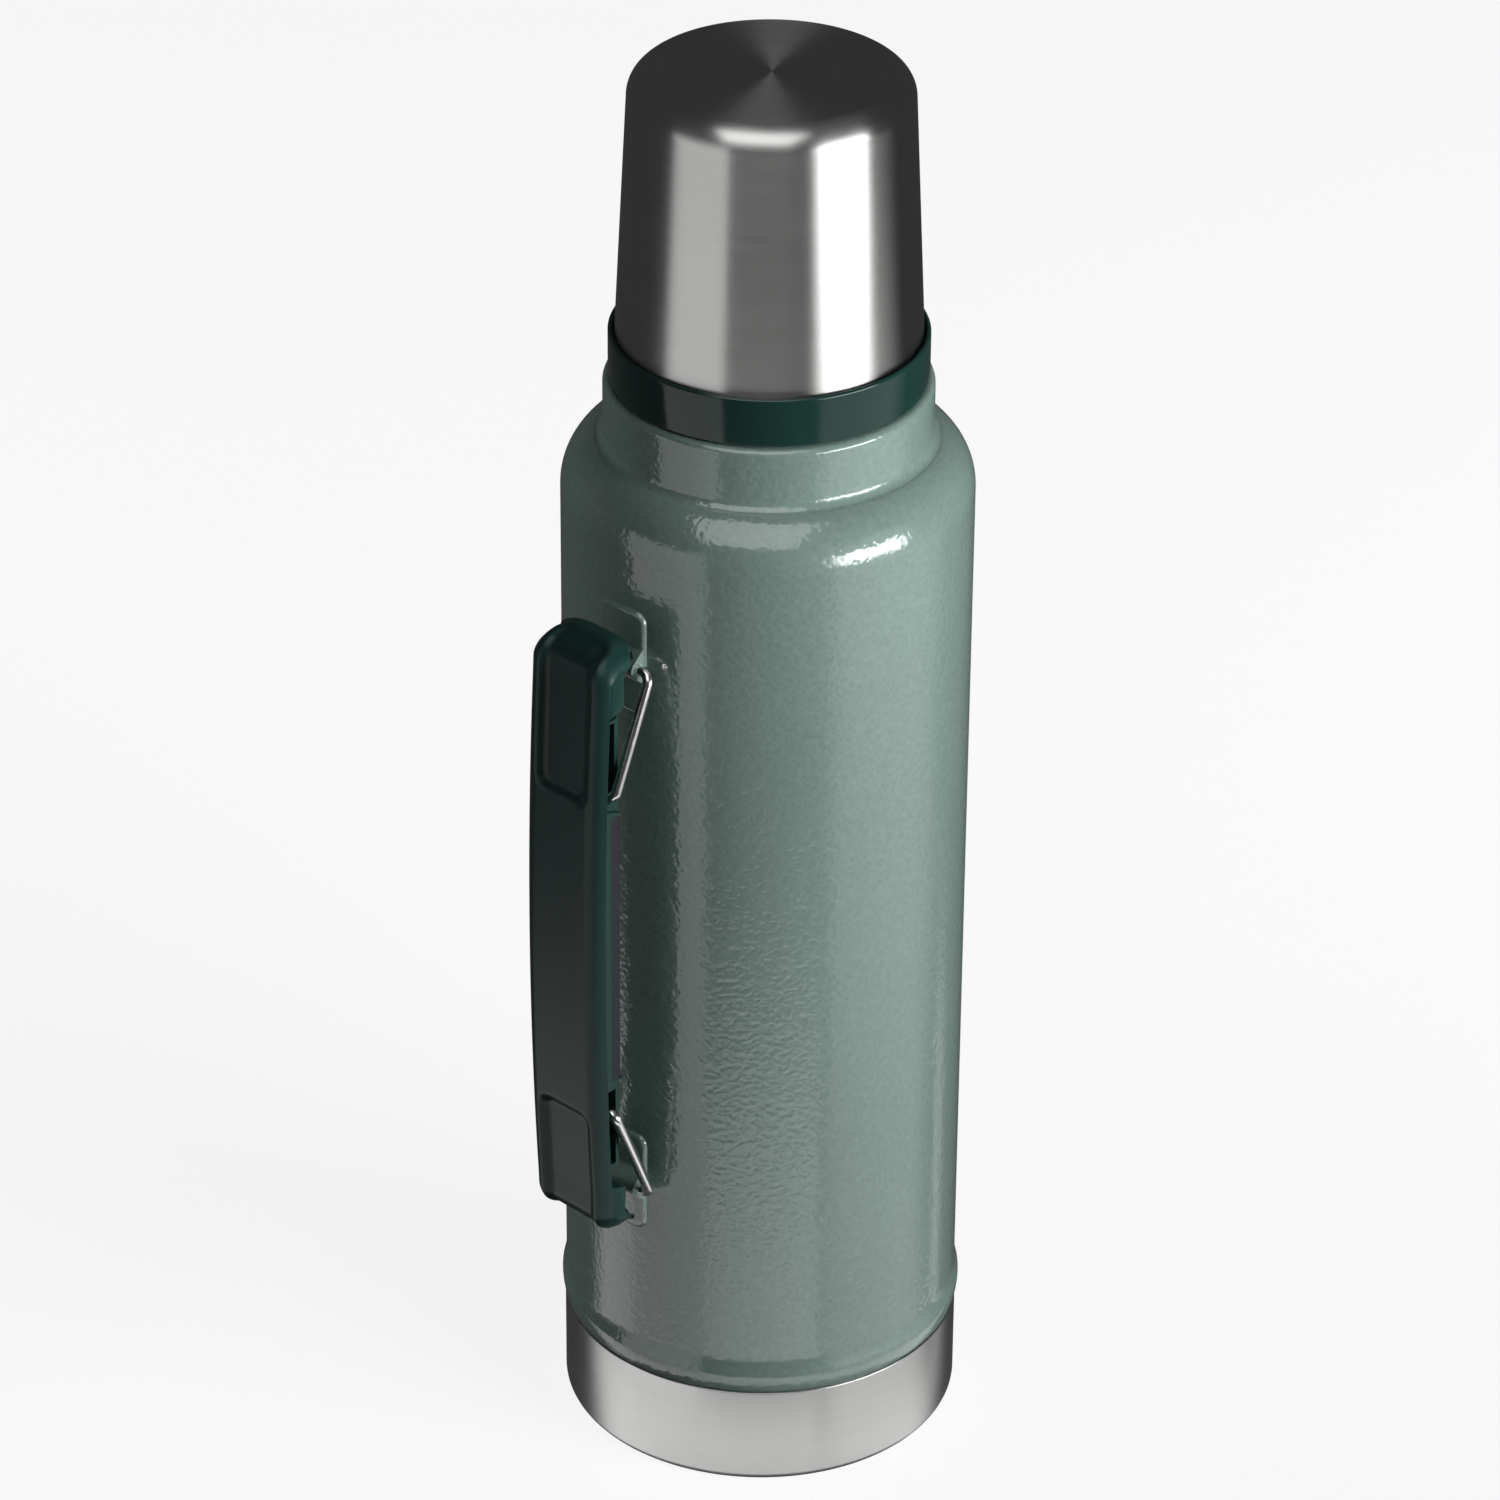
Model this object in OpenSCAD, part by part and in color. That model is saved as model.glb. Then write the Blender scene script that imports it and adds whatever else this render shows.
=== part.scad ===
// Vacuum flask with a screw-on cup, a threaded stopper and a side carrying handle on two wire bails.
// Frame: origin at the centre of the flat underside, +Z up the axis, handle towards -X.

/* [Body] */
// Height over the cup
total_h = 365; // [362:0.5:368]
// Radius of the painted body
body_r = 49.4; // [49:0.1:49.6]
// Radius of the shoulder bend
shoulder_r = 14.6; // [14:0.1:15]
// Height where the straight side ends
shoulder_z = 258.3; // [257:0.1:259]
// Radius of the painted neck
neck_r = 39.3; // [39:0.1:39.6]
// Height of the painted neck step
step_z = 287; // [286.8:0.1:287.1]
// Wall of the outer shell
shell_t = 0.8; // [0.7:0.1:0.9]

/* [Base] */
// Radius of the steel base
base_r = 49.7; // [49.6:0.1:49.8]
// Height of the steel base
base_h = 27; // [26:0.5:27]
// Radius of the pressed bead above it
bead_r = 50.4; // [50.2:0.1:50.6]

/* [Inner flask] */
// Inside radius of the inner flask
inner_r = 37.6; // [36:0.2:38.4]
// Inside height of the inner flask's floor
floor_z = 19; // [18:0.5:24]
// Wall of the inner flask
inner_t = 0.6; // [0.5:0.1:0.8]
// Bore of the neck under the thread
throat_r = 25; // [24.9:0.05:25]
// Height of the mouth rim
mouth_z = 304; // [303.8:0.1:304]

/* [Stopper] */
// Lead of the stopper thread
stopper_pitch = 4.5; // [4.4:0.1:4.6]
// Top of the stopper's grip
stopper_top = 326.8; // [325:0.2:327]
// Flutes round the grip
grip_flutes = 18; // [12:1:20]

/* [Cup] */
// Radius of the steel cup at its collar
cup_r = 36.4; // [36.3:0.1:36.5]
// Radius that the cup's taper reaches at the top
cup_top_r = 33.3; // [33:0.1:33.6]
// Radius of the rounded top edge
cup_fillet = 6; // [5:0.5:6.5]
// Radius of the plastic collar
collar_r = 38; // [37.9:0.1:38.2]
// Height of the collar's upper edge
collar_top = 299.6; // [299:0.1:300]
// Lead of the cup thread
cup_pitch = 4; // [3.8:0.1:4.2]

/* [Handle] */
// Reach of the handle's crown from the axis
crown_v = 71.4; // [71:0.1:72]
// How far the crown bows in towards its ends
crown_bow = 2.4; // [2:0.1:2.6]
// Half the handle's length
handle_half = 82.5; // [82:0.5:83]
// Half the handle's width
handle_w = 13; // [12.8:0.1:13.2]
// Height of the handle's middle
handle_z = 159.6; // [159.4:0.1:159.8]
// Diameter of the bail wire
wire_d = 2.6; // [2.5:0.05:2.6]
// Height of the upper knuckle
knuckle_top_z = 230.7; // [230.6:0.1:230.8]
// Height of the lower knuckle
knuckle_low_z = 83.8; // [83.7:0.1:83.9]

/* [Hidden] */
$fn = 96;

// Paints and finishes
paint = [0.42, 0.52, 0.48];
steel = [0.72, 0.73, 0.72];
collar_green = [0.12, 0.22, 0.20];
handle_green = [0.15, 0.25, 0.23];
rubber_grey = [0.20, 0.20, 0.22];
plastic_black = [0.12, 0.14, 0.14];
silicone = [0.80, 0.80, 0.76];

// Outer shell
bead_z = 32;            // height of the bead's widest line
bead_hollow = 12;       // hollow bend between the bead and the side
reveal = 0.4;           // gap over the steel base
skirt_r = 48.9;         // the shell narrows to this inside the base
skirt_z = 9;            // lower end of the skirt
neck_fillet = 3;        // hollow bend at the foot of the neck
step_round = 1.6;       // rounded edge of the neck step
thread_root_r = 32.1;   // plain neck under the cup thread
thread_crest_r = 33.4;  // crest of the cup thread on the neck
rim_round = 1;          // outer rounding of the mouth rim
floor_rise = 1.4;       // how far the middle of the inner floor is raised

// Neck of the inner flask
neck_bore_r = 26;       // bore that carries the stopper thread
female_crest_r = 25.1;
male_crest_r = 25.6;
stopper_r = 24.6;       // stopper body under its thread
neck_step_z = 286;      // the throat opens to the threaded bore here
thread_z = 289.4;       // centre of the neck thread's first end
thread_turns = 1.6;
thread_bite = 0.3;      // how deep a thread's root sinks in its wall
running = 0.3;          // free space between parts that turn

// Stopper, from the bottom up
plug_z = 274;
plug_t = 2.7;
plug_spigot = 2;        // how far the plug disc stands up inside the body
seal_h = 4.2;
seal_groove = 2;
spigot_h = 4;           // how far the body stands up inside the grip
flange_z = mouth_z + 0.5;
flange_r = 29.2;
flange_t = 2.8;
grip_r = 26.6;
hollow_r = 20.8;

// Cup
cup_wall = 0.7;
liner_wall = 1.5;
liner_gap = 1.5;
collar_z = step_z + 0.4;
collar_bore_r = 34.5;
cup_seat_z = 295;       // the steel cup stands in the collar's slot from here
cup_thread_z = 291.5;
cup_thread_turns = 1.5;
cup_female_r = 33.8;     // crest of the collar's thread, just outside the neck's

// Handle and bails, with v measured out from the axis along -X
knuckle_v = 51.5;
wire_r = wire_d / 2;
wire_fit = 0.05;
knuckle_wall = 0.9;
leg_v = 12.3;           // how far a bail's leg leans out at rest
leg_z = 29;             // and how far it runs along the body
leg_y = 11;             // half the width between the legs
bail_bend = 2.6;
bail_end_y = 7.6;       // the wire ends reach in to here
plate_w = 14.6;
plate_h = 27.5;
plate_t = 1;
plate_round = 3;
face_t = 3.1;           // thickness of the handle's face
edge_round = 5;
end_round = 9;          // corner rounding of the ends, seen from in front
block_v = 62;           // inner face of the handle's end blocks
lip_v = 55;             // tip of the hooked ends
block_half = 66;        // the end blocks start at this distance from the middle
bow_half = 75;          // distance at which the crown has bowed in by crown_bow
end_bend = 8;           // rounding of the ends, seen from the side
lip_r = 2.9;
rib_w = 9.4;            // half the insert's width at the wire slots
insert_v = 60.9;        // hand side of the insert
insert_fit = 0.06;      // free space behind the face
slot_w = 7;             // half the web between two wire slots
slot_v = 62;
slot_from = 40.5;       // the wire slots run between these distances from the middle
slot_to = 62;
pad_v = 64.4;           // floor of the grip pad's seat
pad_w = 10.5;           // half the pad's width
grip_half = 37;         // half the pad's length
grip_t = 3.8;

function lerp(a, b, t) = a + (b - a) * t;
// Points along an arc, from angle a0 to a1
function arc(c, r, a0, a1, n) =
  [for (i = [0:n]) c + r * [cos(lerp(a0, a1, i / n)), sin(lerp(a0, a1, i / n))]];
function backwards(list) = [for (i = [len(list) - 1:-1:0]) list[i]];
// Closed outline from the half that lies above the middle, which both ends of the half touch
function both_halves(half) =
  concat(half, [for (p = backwards(half)) if (p[1] > 0) [p[0], -p[1]]]);

// ---------- helpers ----------

// Solid of revolution from an outline of [radius, height] points
module lathe(outline) {
  rotate_extrude($fn = 180) polygon(outline);
}

// Plain ring between two radii and two heights
module ring(r_in, r_out, z0, z1) {
  lathe([[r_in, z0], [r_out, z0], [r_out, z1], [r_in, z1]]);
}

// Helical ridge from r_root to r_crest, foot and crest wide, that fades out at both ends
module thread(r_root, r_crest, pitch, turns, z0, foot, crest) {
  per_turn = 48;
  fade = 5;
  n = round(turns * per_turn);
  rings = [for (i = [0:n])
    let (a = 360 * i / per_turn,
         z = z0 + pitch * i / per_turn,
         r = lerp(r_root, r_crest, min(1, (i + 0.4) / fade, (n - i + 0.4) / fade)))
    for (q = [[r_root, -foot / 2], [r, -crest / 2], [r, crest / 2], [r_root, foot / 2]])
      [q[0] * cos(a), q[0] * sin(a), z + q[1]]];
  sides = [for (i = [0:n - 1]) for (j = [0:3])
    let (p = 4 * i + j, q = 4 * i + (j + 1) % 4)
    for (t = [[p, q, q + 4], [p, q + 4, p + 4]]) t];
  faces = concat(sides, [[3, 2, 1, 0], [4 * n, 4 * n + 1, 4 * n + 2, 4 * n + 3]]);
  polyhedron(rings, r_crest > r_root ? faces : [for (f = faces) backwards(f)]);
}

// Side profile of [v, z] points, drawn out to both sides of the handle's plane
module side_slab(profile, half_width) {
  rotate([90, 0, 0])
    linear_extrude(2 * half_width, center = true)
      polygon([for (p = profile) [-p[0], p[1]]]);
}

// Upright slab with rounded corners, through which a round plate is cut
module round_slab(w, h, r, z, depth) {
  translate([-body_r - depth / 2, 0, z])
    rotate([0, -90, 0])
      linear_extrude(2 * depth, center = true)
        union() {
          square([h - 2 * r, w], center = true);
          square([h, w - 2 * r], center = true);
          for (x = [-1, 1], y = [-1, 1])
            translate([x * (h / 2 - r), y * (w / 2 - r)])
              circle(r);
        }
}

// ---------- flask ----------

// Shoulder that bends in from the side and hollows out into a neck, its line moved out by t
function shoulder_line(c, bend, top_r, hollow, t) = let (
    meet = acos((top_r + hollow - c[0]) / (bend + hollow)))
  concat(arc(c, bend + t, 0, meet, 16),
         arc([top_r + hollow, c[1] + (bend + hollow) * sin(meet)], hollow - t, 180 + meet, 180, 8));
function shell_shoulder(t) =
  shoulder_line([body_r - shoulder_r, shoulder_z], shoulder_r, neck_r, neck_fillet, t);

// Outer line of the painted shell, from the skirt up to the mouth
function shell_outline() = let (
    drop = base_h + reveal - bead_z,
    low_r = (pow(drop, 2) + pow(bead_r - base_r, 2)) / (2 * (bead_r - base_r)),
    upper_r = 4,
    run_out = sqrt(pow(upper_r + bead_hollow, 2) - pow(body_r + bead_hollow - bead_r + upper_r, 2)),
    meet = asin(run_out / (upper_r + bead_hollow)))
  concat(
    [[skirt_r, skirt_z], [skirt_r, base_h + reveal]],
    arc([bead_r - low_r, bead_z], low_r, asin(drop / low_r), 0, 6),
    arc([bead_r - upper_r, bead_z], upper_r, 4, meet, 5),
    arc([body_r + bead_hollow, bead_z + run_out], bead_hollow, 180 + meet, 180, 6),
    shell_shoulder(0),
    arc([neck_r - step_round, step_z - step_round], step_round, 0, 90, 6),
    [[thread_root_r + 0.8, step_z]],
    arc([thread_root_r + 0.8, step_z + 0.8], 0.8, 270, 180, 4),
    arc([thread_root_r - rim_round, mouth_z - rim_round], rim_round, 0, 90, 5));

module outer_shell() {
  inside = neck_bore_r + inner_t;
  wall_in = body_r - shell_t;
  neck_in = thread_root_r - shell_t;
  color(paint) {
    difference() {
      lathe(concat(shell_outline(), [[0, mouth_z], [0, skirt_z]]));
      lathe(concat(
        [[0, skirt_z - 1], [skirt_r - shell_t, skirt_z - 1], [skirt_r - shell_t, base_h + 4],
         [wall_in, bead_z + 6]],
        shell_shoulder(-shell_t),
        [[neck_r - shell_t, step_z - shell_t - 1],
         [neck_r - shell_t - 1, step_z - shell_t], [neck_in, step_z - shell_t],
         [neck_in, mouth_z - shell_t], [inside, mouth_z - shell_t], [inside, mouth_z + 1],
         [0, mouth_z + 1]]));
    }
    thread(thread_root_r - thread_bite, thread_crest_r, cup_pitch, cup_thread_turns,
           cup_thread_z, 1.9, 0.7);
  }
}

// Dished steel disc that closes the shell's lower end, welded inside the skirt
module outer_bottom() {
  r = skirt_r - shell_t;
  top = skirt_z - 1;      // underside of the raised middle
  low = top - 3;          // underside of the ring round it
  t = 0.7;
  color(steel)
    lathe([[0, top], [r - 12, top], [r - 8, low], [r - 1.2, low], [r, low + 1],
           [r, skirt_z + 5], [r - t, skirt_z + 5], [r - t, low + 1.4], [r - 2 * t, low + t],
           [r - 8 + 0.3, low + t], [r - 12 + 0.3, top + t], [0, top + t]]);
}

// Inner line of the inner flask, from its lower edge to the mouth
function flask_line(t) = let (bend = 12) concat(
    [[inner_r + t, floor_z + 3]],
    shoulder_line([inner_r - bend, shoulder_z - 7], bend, throat_r, 6, t),
    [[throat_r + t, neck_step_z], [neck_bore_r + t, neck_step_z + 1], [neck_bore_r + t, mouth_z]]);

module inner_flask() {
  color(steel) {
    lathe(concat(flask_line(inner_t), backwards(flask_line(0))));
    thread(neck_bore_r + thread_bite, female_crest_r, stopper_pitch, thread_turns,
           thread_z + stopper_pitch / 2, 2.1, 0.9);
  }
}

// Dished floor of the inner flask, welded inside its lower edge, with its middle raised
module inner_bottom() {
  bend = 3.5;
  c = [inner_r - bend, floor_z + bend];
  middle_z = floor_z + floor_rise;
  color(steel)
    lathe(concat([[0, middle_z], [14, middle_z], [18, floor_z]],
                 arc(c, bend, 270, 360, 10),
                 [[inner_r, c[1] + 1.5], [inner_r - inner_t, c[1] + 1.5]],
                 arc(c, bend - inner_t, 360, 270, 10),
                 [[18, floor_z + inner_t], [14, middle_z + inner_t], [0, middle_z + inner_t]]));
}

// Bright foil wrap that keeps radiant heat in
module radiation_foil() {
  color([0.85, 0.80, 0.72])
    ring(inner_r + inner_t + 0.05, inner_r + inner_t + 0.25, floor_z + 8, shoulder_z - 12);
}

// Getter pill under the inner floor, which keeps the vacuum clean
module getter() {
  getter_t = 3;
  color([0.5, 0.5, 0.52])
    ring(0, 5, floor_z + floor_rise - getter_t, floor_z + floor_rise);
}

// Solder drop over the pump-out hole in the outer bottom
module vacuum_seal() {
  color([0.62, 0.62, 0.60])
    lathe([[0, skirt_z - 3.4], [2.4, skirt_z - 3.2], [4, skirt_z - 2.2], [4.4, skirt_z - 1],
           [0, skirt_z - 1]]);
}

// Pressed steel base: a shallow cup with a turned ring in its underside
module base_cup() {
  round_r = 2.2;
  wall = 0.75;
  groove_in = 30;
  groove_out = 37;
  groove_d = 0.35;
  c = [base_r - round_r, round_r];
  color(steel)
    lathe(concat([[0, 0], [groove_in, 0], [groove_in + 0.6, groove_d], [groove_out - 0.6, groove_d],
                  [groove_out, 0]],
                 arc(c, round_r, 270, 360, 8),
                 [[base_r, base_h - 0.3], [base_r - 0.3, base_h], [base_r - wall, base_h]],
                 arc(c, round_r - wall, 360, 270, 8),
                 [[0, wall]]));
}

// ---------- carrying handle ----------

// Welded plate with a pressed knuckle that holds one bail
module bracket(knuckle_z) {
  bore_r = wire_r + wire_fit;
  knuckle_w = plate_w - 0.6;
  fold_v = knuckle_v + 0.9;
  color(paint)
    difference() {
      union() {
        intersection() {
          ring(body_r, body_r + plate_t, knuckle_z - plate_h, knuckle_z + plate_h);
          round_slab(plate_w, plate_h, plate_round, knuckle_z, 4);
        }
        translate([-knuckle_v, 0, knuckle_z])
          rotate([90, 0, 0])
            cylinder(r = bore_r + knuckle_wall, h = knuckle_w, center = true);
        side_slab([[body_r + 0.2, knuckle_z - 4.2], [fold_v, knuckle_z - 2],
                   [fold_v, knuckle_z + 2], [body_r + 0.2, knuckle_z + 4.2]],
                  knuckle_w / 2);
      }
      translate([-knuckle_v, 0, knuckle_z])
        rotate([90, 0, 0])
          cylinder(r = bore_r, h = plate_w + 4, center = true);
      cylinder(r = body_r, h = total_h);
    }
}
module bracket_upper() bracket(knuckle_top_z);
module bracket_lower() bracket(knuckle_low_z);

// Straight wire between two points of the bail's own plane, which is Y and Z
module wire(a, b) {
  d = b - a;
  translate([0, a[0], a[1]])
    rotate([atan2(-d[0], d[1]), 0, 0])
      cylinder(r = wire_r, h = norm(d));
}

// Quarter bend of wire about a centre in the bail's plane
module wire_bend(c, from) {
  translate([0, c[0], c[1]])
    rotate([90, 0, 90])
      rotate([0, 0, from])
        rotate_extrude(angle = 90)
          translate([bail_bend, 0])
            circle(wire_r);
}

// One bail: across through the knuckle, out along two legs, and in again at both ends.
// down is 1 where the legs run down from the knuckle, and -1 where they run up.
module bail(knuckle_z, down) {
  reach = norm([leg_v, leg_z]);
  b = bail_bend;
  color(steel)
    translate([-knuckle_v, 0, knuckle_z])
      rotate([0, down > 0 ? 180 + atan2(leg_v, leg_z) : -atan2(leg_v, leg_z), 0]) {
        wire([-leg_y + b, 0], [leg_y - b, 0]);
        for (s = [-1, 1]) {
          wire([s * leg_y, b], [s * leg_y, reach - b]);
          wire([s * bail_end_y, reach], [s * (leg_y - b), reach]);
        }
        wire_bend([leg_y - b, b], 270);
        wire_bend([leg_y - b, reach - b], 0);
        wire_bend([-leg_y + b, reach - b], 90);
        wire_bend([-leg_y + b, b], 180);
      }
}
module bail_upper() bail(knuckle_top_z, 1);
module bail_lower() bail(knuckle_low_z, -1);

// The crown's reach at a distance z from the handle's middle, and its line set in by depth
function crown(z) = crown_v - crown_bow * pow(z / bow_half, 2);
function crown_line(depth, half) = [for (i = [0:6]) let (z = half * i / 6) [crown(z) - depth, z]];

// Upper half of the handle's side profile, from the middle of the crown to the lip and back
function handle_side() = concat(
  crown_line(0, block_half),
  arc([crown(block_half) - end_bend, handle_half - end_bend], end_bend, 4, 90, 8),
  arc([lip_v + lip_r, handle_half - lip_r - 0.3], lip_r, 95, 215, 8),
  [[lip_v + 3.5, handle_half - 6.8], [block_v - 0.8, handle_half - 9.4],
   [block_v, handle_half - 12], [block_v, block_half + 2],
   [crown(block_half) - face_t, block_half + 0.2]],
  backwards(crown_line(face_t, block_half - 1)));

// Moulded outer shell of the handle with its hooked ends
module handle_shell() {
  color(handle_green)
    translate([0, 0, handle_z])
      intersection() {
        side_slab(both_halves(handle_side()), handle_w);
        linear_extrude(2 * handle_half + 2, center = true)
          union() {
            translate([-crown_v, -handle_w + edge_round])
              square([30, 2 * (handle_w - edge_round)]);
            translate([-crown_v + edge_round, -handle_w])
              square([30, 2 * handle_w]);
            for (s = [-1, 1])
              translate([-crown_v + edge_round, s * (handle_w - edge_round)])
                circle(edge_round);
          }
        rotate([0, 90, 0])
          linear_extrude(200, center = true)
            union() {
              square([2 * handle_half, 2 * (handle_w - end_round)], center = true);
              square([2 * (handle_half - end_round), 2 * handle_w], center = true);
              for (a = [-1, 1], s = [-1, 1])
                translate([a * (handle_half - end_round), s * (handle_w - end_round)])
                  circle(end_round);
            }
      }
}

// Inner moulding: it backs the face, seats the rubber grip and holds the wire ends in slots
module handle_insert() {
  back = face_t + insert_fit;
  wide_half = slot_from - 0.6;
  slot_h = slot_to - slot_from;
  color(handle_green)
    translate([0, 0, handle_z])
      difference() {
        union() {
          side_slab(both_halves(concat(crown_line(back, slot_to), [[insert_v, slot_to + 1],
                                                                   [insert_v, 0]])), rib_w);
          side_slab(both_halves(concat(crown_line(back, wide_half), [[insert_v, wide_half - 2.4],
                                                                     [insert_v, 0]])), pad_w);
        }
        for (s = [-1, 1], a = [-1, 1])
          translate([-crown_v, s * (slot_w + pad_w) - pad_w, a * (slot_from + slot_h / 2) - slot_h / 2])
            cube([crown_v - slot_v, 2 * pad_w, slot_h]);
        translate([-pad_v, -2 * pad_w, -grip_half - wire_fit])
          cube([crown_v, 4 * pad_w, 2 * (grip_half + wire_fit)]);
      }
}

// Soft grip pad on the hand side
module handle_grip() {
  edge = 1.6;
  crest_v = pad_v - grip_t;
  color(rubber_grey)
    translate([0, 0, handle_z])
      intersection() {
        side_slab([[pad_v, -grip_half], [pad_v, grip_half], [crest_v + 1.2, grip_half],
                   [crest_v, grip_half - 2], [crest_v, -grip_half + 2],
                   [crest_v + 1.2, -grip_half]], pad_w);
        translate([-pad_v, 0, 0])
          linear_extrude(2 * grip_half + 2, center = true)
            union() {
              translate([0, -pad_w])
                square([grip_t - edge, 2 * pad_w]);
              translate([0, -pad_w + edge])
                square([grip_t + 0.2, 2 * (pad_w - edge)]);
              for (s = [-1, 1])
                translate([grip_t - edge, s * (pad_w - edge)])
                  circle(edge);
            }
      }
}

// ---------- stopper ----------

// Hollow plastic body with the thread, a groove for the sealing ring and a flange over the mouth
module stopper_body() {
  groove_r = stopper_r - seal_groove;
  shoulder = plug_z + plug_t + seal_h + 0.7;
  flange_top = flange_z + flange_t;
  spigot_r = grip_r - 2.2;
  color(plastic_black) {
    lathe([[hollow_r, plug_z + plug_t], [groove_r, plug_z + plug_t], [groove_r, shoulder],
           [stopper_r - 0.4, shoulder], [stopper_r, shoulder + 0.4], [stopper_r, flange_z],
           [flange_r - 0.6, flange_z], [flange_r, flange_z + 0.6], [flange_r, flange_top - 1],
           [flange_r - 1, flange_top], [spigot_r, flange_top], [spigot_r, flange_top + spigot_h],
           [hollow_r, flange_top + spigot_h]]);
    thread(stopper_r - thread_bite, male_crest_r, stopper_pitch, thread_turns, thread_z, 2.1, 0.9);
  }
}

// Plug disc that closes the stopper's lower end
module stopper_base() {
  rim_r = stopper_r - 0.8;
  spigot_r = hollow_r - 0.1;
  z = plug_z + plug_t;
  color(plastic_black)
    lathe([[0, plug_z], [rim_r - 0.8, plug_z], [rim_r, plug_z + 0.8], [rim_r, z], [spigot_r, z],
           [spigot_r, z + plug_spigot], [0, z + plug_spigot]]);
}

// Insulating foam inside the stopper
module stopper_foam() {
  color([0.93, 0.92, 0.88])
    ring(0, hollow_r - 0.2, plug_z + plug_t + plug_spigot + 0.1, flange_z + 12);
}

// Fluted grip
module stopper_cap() {
  foot_z = flange_z + flange_t + 0.1;
  wall = 1.9;
  edge = 2.5;
  top_r = grip_r - 0.8;
  color(handle_green)
    difference() {
      lathe(concat([[grip_r - wall, foot_z], [grip_r, foot_z]],
                   arc([top_r - edge, stopper_top - edge], edge, 0, 90, 6),
                   [[0, stopper_top], [0, stopper_top - wall],
                    [grip_r - wall - 1, stopper_top - wall]]));
      for (i = [0:grip_flutes - 1])
        rotate(i * 360 / grip_flutes)
          translate([grip_r + 1.1, 0, foot_z + 2])
            cylinder(r = 2, h = stopper_top - foot_z);
    }
}

// Silicone sealing ring, which rises with the stopper without turning
module stopper_seal() {
  z = plug_z + plug_t + 0.35;
  r = throat_r - running;
  r_in = stopper_r - seal_groove + running;
  color(silicone)
    lathe([[r_in, z], [r - 0.5, z], [r, z + seal_h / 2], [r - 0.5, z + seal_h], [r_in, z + seal_h]]);
}

// ---------- cup ----------

// Taper of the steel cup's outer face
function cup_face(z) = cup_r + (cup_top_r - cup_r) * (z - collar_top) / (total_h - collar_top);
// Outline of the cup's wall, set in by d, from the foot at z0 to the middle of the top
function cup_line(d, z0) = let (
    f = cup_fillet - d * 0.6,
    top = total_h - d)
  concat([[cup_face(z0) - d, z0]],
         arc([cup_face(top - f) - d - f, top - f], f, 2, 90, 10),
         [[0, top]]);

module cup_shell() {
  color(steel)
    lathe(concat(cup_line(0, cup_seat_z), backwards(cup_line(cup_wall, cup_seat_z))));
}

// Moulded liner that holds the drink
module cup_liner() {
  depth = cup_wall + liner_gap;
  color(plastic_black)
    lathe(concat(cup_line(depth, collar_top), backwards(cup_line(depth + liner_wall, collar_top))));
}

// Threaded drinking rim and collar: the steel cup stands in its slot
module cup_collar() {
  slot_in = cup_face(cup_seat_z) - cup_wall - 0.1;
  slot_out = cup_face(cup_seat_z) + 0.1;
  liner_out = cup_face(collar_top) - cup_wall - liner_gap;
  upstand = collar_top + 3;
  lip = (collar_r - slot_out) / 2;
  color(collar_green) {
    lathe(concat(
      [[collar_bore_r, collar_z + 0.6], [collar_bore_r + 0.5, collar_z], [collar_r - 0.5, collar_z],
       [collar_r, collar_z + 0.5]],
      arc([collar_r - lip, collar_top - lip], lip, 0, 180, 8),
      [[slot_out, cup_seat_z - 0.1], [slot_in, cup_seat_z - 0.1],
       [cup_face(upstand) - cup_wall - 0.1, upstand], [liner_out, upstand], [liner_out, collar_top],
       [liner_out - liner_wall, collar_top], [liner_out - liner_wall, collar_top - 1],
       [collar_bore_r, collar_top - 2.5]]));
    thread(collar_bore_r + thread_bite, cup_female_r, cup_pitch, cup_thread_turns,
           cup_thread_z + cup_pitch / 2, 1.7, 0.6);
  }
}

// Soft ring between the flask's rim and the cup
module cup_gasket() {
  color(silicone)
    ring(flange_r + 0.4, thread_root_r - 0.1, mouth_z + 0.4, mouth_z + 2.2);
}

outer_shell();
outer_bottom();
inner_flask();
inner_bottom();
radiation_foil();
getter();
vacuum_seal();
base_cup();
bracket_upper();
bracket_lower();
bail_upper();
bail_lower();
handle_shell();
handle_insert();
handle_grip();
stopper_body();
stopper_base();
stopper_foam();
stopper_cap();
stopper_seal();
cup_shell();
cup_liner();
cup_collar();
cup_gasket();
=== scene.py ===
"""Gives a packed vacuum flask its finishes, its moulded handle, and a pale studio to stand in."""

import math

import bmesh
import bpy
from bpy.props import FloatProperty, FloatVectorProperty, PointerProperty
from mathutils import Matrix, Vector


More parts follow.
